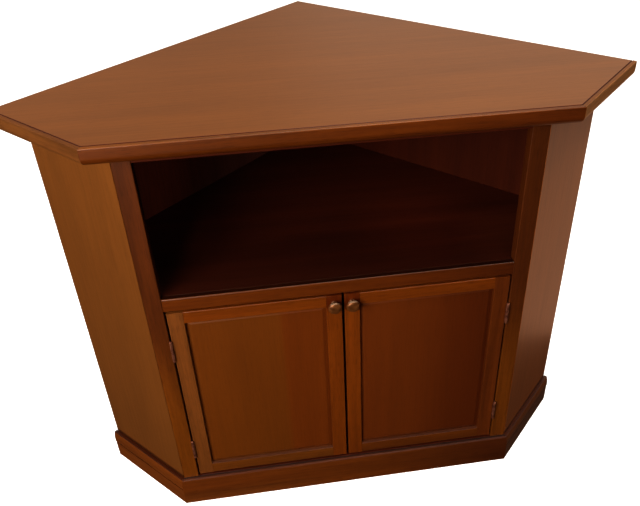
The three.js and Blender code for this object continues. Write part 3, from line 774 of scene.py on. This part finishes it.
def finish_carcass():
    stile = Wood("front_stile_wood")
    # Painted shade on the stiles under the top
    stile.stain(stile.along(UP, *STILE_SHADE_SPAN), STILE_UNDER_TOP_SHADE)
    give(stile.done(), "left_front_stile", "right_front_stile")
    finish_shelf()
    inside = Wood("inside_across").done()
    give(inside, "floor_panel")
    timber = Wood("plain_timber").done()
    give(timber, "front_bottom_rail")
    give(Wood("corner_post_wood").done(), "back_corner_post")
    for side in SIDES:
        finish_back_panel(side)
        give(inside, side + "_side_shelf_bearer", side + "_back_shelf_bearer")
        give(timber, side + "_rear_post", side + "_top_batten", side + "_back_floor_bearer")


# The plinth: drops and lifts are distances below and above its top, and the quirk is the groove in its sides
PLINTH_END_SHADE_SPAN = (0.05, 0.34)
# Painted light: the plinth's foot is lighter on the left, for light thrown up from the floor
BOUNCE_FOOT_SPAN = (0.040, 0.010)
BOUNCE_LEFT_SPAN = (0.0, -0.20)
FLOOR_BOUNCE_LIGHT = (1.18, 1.32, 1.8)
# Painted shade on ledges, in quirks and where a panel meets the plinth
CONTACT_SHADE = (0.30, 0.20, 0.15)
FRONT_LEDGE_DROPS = (0.002, 0.0005)
FRONT_LEDGE_SETBACKS = (0.003, 0.006)
SIDE_LEDGE_DROPS = (0.0015, 0.0003)
QUIRK_DROP = 0.027
QUIRK_WIDTH = 0.002
QUIRK_SOFT = 0.0005
SIDE_FOOT_LIFTS = (0.010, 0.004)


def finish_front_plinth(front, top):
    # Painted shade towards the right end of the plinth
    wood = shade_towards_right_end(Wood("front_plinth_wood"), PLINTH_END_SHADE_SPAN)
    # Painted light at the foot, from the floor
    wood.stain(wood.both(wood.along(UP, *BOUNCE_FOOT_SPAN), wood.along(RIGHT, *BOUNCE_LEFT_SPAN)), FLOOR_BOUNCE_LIGHT)
    # Painted shade on the plinth's upward faces
    shade_upward_faces(wood)
    # Painted shade on the back of the ledge, under the doors
    ledge = wood.along(UP, *(top - drop for drop in FRONT_LEDGE_DROPS))
    inner = wood.along(BACK, *(front + setback for setback in FRONT_LEDGE_SETBACKS))
    wood.stain(wood.both(ledge, inner), CONTACT_SHADE)
    give(wood.done(), "front_plinth")


def finish_side(side, top):
    """Painted shade darkens a side plinth's ledge, its quirk, and the foot of the panel above it."""
    wood = Wood(side + "_plinth_side")
    wood.stain(wood.along(UP, *(top - drop for drop in SIDE_LEDGE_DROPS)), CONTACT_SHADE)
    quirk = top - QUIRK_DROP
    wood.stain(wood.band(UP, quirk - QUIRK_WIDTH, quirk, QUIRK_SOFT), CONTACT_SHADE)
    give(wood.done(), side + "_side_plinth")
    panel = Wood(side + "_side")
    # Painted shade along the foot of the panel
    panel.stain(panel.along(UP, *(top + lift for lift in SIDE_FOOT_LIFTS)), CONTACT_SHADE)
    give(panel.done(), side + "_side_panel")


def finish_plinth():
    low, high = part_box("front_plinth")
    finish_front_plinth(low.y, high.z)
    for side in SIDES:
        finish_side(side, high.z)


# The doors: stiles darker round the knobs, in the left panel two leaves of veneer that meet at a soft line,
# and painted shade across the right panel
KNOB_DARKENING_SHIFT = Vector((0.0, 0.01, 0.005))
KNOB_DARKENING_REACH = (0.012, 0.026)
KNOB_DARKENING = (0.55, 0.42, 0.4)
# A second leaf of veneer in the left panel, and painted shade towards the right of the right panel
LEAF_AND_SHADE_SPANS = {"left": (-0.112, -0.102), "right": (0.10, 0.24)}
LEAF_AND_SHADE_TINTS = {"left": (1.0, 0.83, 0.75), "right": (0.74, 0.66, 0.64)}


def meeting_stile_finish(side):
    wood = Wood(side + "_meeting_stile_wood")
    low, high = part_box(side + "_door_knob")
    # The stile is darker round and above its knob
    near_knob = wood.near((low + high) / 2 + KNOB_DARKENING_SHIFT, *KNOB_DARKENING_REACH)
    return wood.stain(near_knob, KNOB_DARKENING).done()


def door_panel_finish(side):
    wood = Wood(side + "_door_veneer")
    # A leaf of veneer on the left door, painted shade on the right door
    return wood.stain(wood.along(RIGHT, *LEAF_AND_SHADE_SPANS[side]), LEAF_AND_SHADE_TINTS[side]).done()


def finish_doors():
    top_rail = Wood("door_top_rail_wood").done()
    for side in SIDES:
        give(meeting_stile_finish(side), side + "_door_meeting_stile")
        give(Wood(side + "_hinge_stile_wood").done(), side + "_door_hinge_stile")
        give(top_rail, side + "_door_top_rail")
        # Painted shade on the upward faces of each bottom rail
        give(shade_upward_faces(Wood(side + "_bottom_rail_wood")).done(), side + "_door_bottom_rail")
        give(door_panel_finish(side), side + "_door_panel")


# The metals, the patina that they share, and a painted highlight on the upper rim of a knob
PATINA_SCALE = 160.0
PATINA_DETAIL = 5.0
PATINA_STOPS = (0.35, 0.62)
PATINA_ROUGHNESS = (0.1, -0.08)
PATINA_DEPTH = 0.00008
PATINA_STRENGTH = 0.25
Metal = namedtuple("Metal", "dark light rough metallic")
METALS = {
    "antique_brass": Metal((0.13, 0.042, 0.009), (0.24, 0.09, 0.026), rough=0.36, metallic=0.45),
    "hinge_brass": Metal((0.15, 0.045, 0.025), (0.36, 0.15, 0.09), rough=0.5, metallic=0.65),
    "zinc_steel": Metal((0.42, 0.42, 0.41), (0.62, 0.62, 0.6), rough=0.34, metallic=1.0),
}
# Painted highlight on the knob's upper rim
KNOB_RIM_HIGHLIGHT_LOWER_SPAN = (0.60, 0.88)
KNOB_RIM_HIGHLIGHT_UPPER_SPAN = (0.995, 0.96)
KNOB_RIM_HIGHLIGHT = (0.42, 0.29, 0.195)

# The moulded plastic of the catches
SPECKLE_SCALE = 900.0
SPECKLES = ((0.3, (0.03, 0.015, 0.01)), (0.7, (0.06, 0.03, 0.02)))
PLASTIC_ROUGHNESS = 0.5


def metal(name):
    """One of METALS, with a patina."""
    values = METALS[name]
    surface = Surface(name)
    patina = surface.noise(surface.coordinates(ALONG_X), PATINA_SCALE, detail=PATINA_DETAIL)
    surface.color = surface.ramp(patina, zip(PATINA_STOPS, (values.dark, values.light)))
    surface.rough = surface.between(patina, *(values.rough + change for change in PATINA_ROUGHNESS))
    surface.fix("Metallic", values.metallic)
    surface.bump(patina, PATINA_DEPTH, PATINA_STRENGTH)
    return surface


def paint_rim_highlight(surface):
    """A painted highlight: the upper rim is paler, for the crescent of light that it reflects from above."""
    highlighted = surface.both(surface.facing(UP, *KNOB_RIM_HIGHLIGHT_LOWER_SPAN), surface.facing(UP, *KNOB_RIM_HIGHLIGHT_UPPER_SPAN))
    surface.color = surface.mix(highlighted, surface.color, KNOB_RIM_HIGHLIGHT)
    return surface


def moulded_plastic():
    surface = Surface("catch_plastic")
    speckle = surface.noise(surface.coordinates(ALONG_X), SPECKLE_SCALE)
    surface.color = surface.ramp(speckle, SPECKLES)
    surface.fix("Roughness", PLASTIC_ROUGHNESS)
    return surface


def finish_metal():
    # The knobs take the painted highlight
    knob = paint_rim_highlight(metal("antique_brass")).done()
    hinge = metal("hinge_brass").done()
    steel = metal("zinc_steel").done()
    plastic = moulded_plastic().done()
    knobs(knob)
    hinge_screws(hinge)
    back_pins(steel)
    for side in SIDES:
        give(steel, side + "_door_knob_screw", side + "_door_strike")
        give(plastic, side + "_door_catch")
        for level in LEVELS:
            for part in ("cabinet_leaf", "door_leaf", "pin"):
                give(hinge, f"{side}_{level}_hinge_{part}")


# The studio: pale paper all round, and soft lamps with their power in watts
STUDIO_WIDTH = 30.0
PAPER = (0.86, 0.86, 0.86, 1.0)
PAPER_ROUGHNESS = 0.9
PAPER_GLOW = (1.0, 1.0, 1.0, 1.0)
PAPER_GLOW_STRENGTH = 0.8
WARM = (1.0, 0.90, 0.80)
Lamp = namedtuple("Lamp", "place target size power color")
LAMPS = {
    "ceiling": Lamp((0.45, -0.45, 3.0), (0.0, 0.0, 0.5), (1.8, 1.8), power=46.0, color=WARM),
    "window": Lamp((-1.0, -1.5, 1.08), (-0.1, -0.2, 0.45), (1.1, 1.0), power=30.0, color=WARM),
    "floor_glow": Lamp((1.33, 0.4, 0.01), (1.33, 0.4, 1.0), (1.34, 1.5), power=3.0, color=(1.0, 0.52, 0.31)),
}

# The light of a room: for each axis, a span of its direction and the strength at either end of the span
RoomLight = namedtuple("RoomLight", "span strengths")
ROOM_LIGHT = {
    "Z": RoomLight(span=(-0.5, 0.3), strengths=(0.035, 0.42)),
    "X": RoomLight(span=(-0.02, 0.16), strengths=(0.70, 1.25)),
    "Y": RoomLight(span=(-0.6, 0.3), strengths=(0.22, 1.0)),
}
ROOM_COLOR = (1.0, 0.82, 0.66, 1.0)


def area_light(name, lamp):
    data = bpy.data.lights.new(name, "AREA")
    data.shape = "RECTANGLE"
    data.size, data.size_y = lamp.size
    data.energy = lamp.power
    data.color = lamp.color
    obj = bpy.data.objects.new(name, data)
    obj.location = lamp.place
    obj.rotation_euler = (Vector(lamp.target) - Vector(lamp.place)).to_track_quat("-Z", "Y").to_euler()
    bpy.context.scene.collection.objects.link(obj)
    obj.visible_camera = False


def paper():
    surface = Surface("studio_paper")
    surface.fix("Base Color", PAPER)
    surface.fix("Roughness", PAPER_ROUGHNESS)
    surface.fix("Emission Color", PAPER_GLOW)
    surface.fix("Emission Strength", PAPER_GLOW_STRENGTH)
    return surface.material


def stage_piece(name, vertices, faces, material):
    """Part of the pale studio, which the camera sees but the finish of the cabinet doesn't mirror."""
    mesh = bpy.data.meshes.new(name)
    mesh.from_pydata(vertices, [], faces)
    mesh.materials.append(material)
    obj = bpy.data.objects.new(name, mesh)
    bpy.context.scene.collection.objects.link(obj)
    obj.visible_glossy = False
    obj.visible_diffuse = False
    return obj


def room():
    """Light from all round: dim from below and in front, brighter from above, behind and the right."""
    world = bpy.data.worlds.new("room")
    world.use_nodes = True
    tree = Tree(world.node_tree)
    background = world.node_tree.nodes["Background"]
    direction = tree.add("ShaderNodeTexCoord")
    axes = tree.add("ShaderNodeSeparateXYZ")
    tree.link(direction.outputs["Generated"], axes.inputs["Vector"])
    factors = [
        tree.step(axes.outputs[axis], *light.span, *light.strengths)
        for axis, light in ROOM_LIGHT.items()
    ]
    tree.link(reduce(tree.both, factors), background.inputs["Strength"])
    background.inputs["Color"].default_value = ROOM_COLOR
    bpy.context.scene.world = world


def studio():
    half = STUDIO_WIDTH / 2
    corners = [(-half, -half), (half, -half), (half, half), (-half, half)]
    ground = [(x, y, 0.0) for x, y in corners]
    ceiling = [(x, y, half) for x, y in corners]
    count = len(corners)
    walls = [(i, (i + 1) % count, (i + 1) % count + count, i + count) for i in range(count)]
    material = paper()
    stage_piece("floor", ground, [(0, 1, 2, 3)], material)
    backdrop = stage_piece("backdrop", ground + ceiling, walls, material)
    backdrop.visible_shadow = False
    room()
    for name, lamp in LAMPS.items():
        area_light(name, lamp)
    bpy.context.scene.view_settings.view_transform = "Standard"
    bpy.context.scene.view_settings.look = "Medium High Contrast"


finish_top()
finish_carcass()
finish_plinth()
finish_doors()
finish_metal()
studio()
camera()
